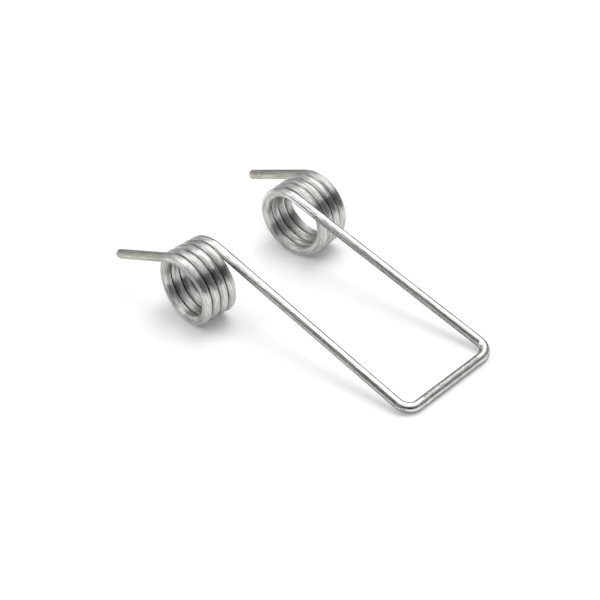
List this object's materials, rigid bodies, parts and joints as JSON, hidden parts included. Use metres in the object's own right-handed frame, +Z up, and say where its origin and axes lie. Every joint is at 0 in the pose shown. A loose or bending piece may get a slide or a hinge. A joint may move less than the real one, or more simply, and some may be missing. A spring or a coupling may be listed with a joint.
{
  "type": "double torsion spring",
  "caption": "Double torsion spring: one round steel wire wound into a close coil on each side of a U-shaped loop, with a straight tail at each end.",
  "frame": {"origin": "midway between the middles of the two coils, on the line of the arbor that carries them", "axes": "+X from the coils to the crossbar, +Y from the right coil to the left coil along the arbor, +Z up as the spring lies on a level surface"},
  "size_m": [0.0721, 0.0404, 0.016],
  "materials": {
    "spring_wire": "drawn stainless spring wire, satin with fine marks along and across the wire"
  },
  "bodies": {
    "root": {"torsion_spring": "spring_wire"}
  },
  "joints": []
}
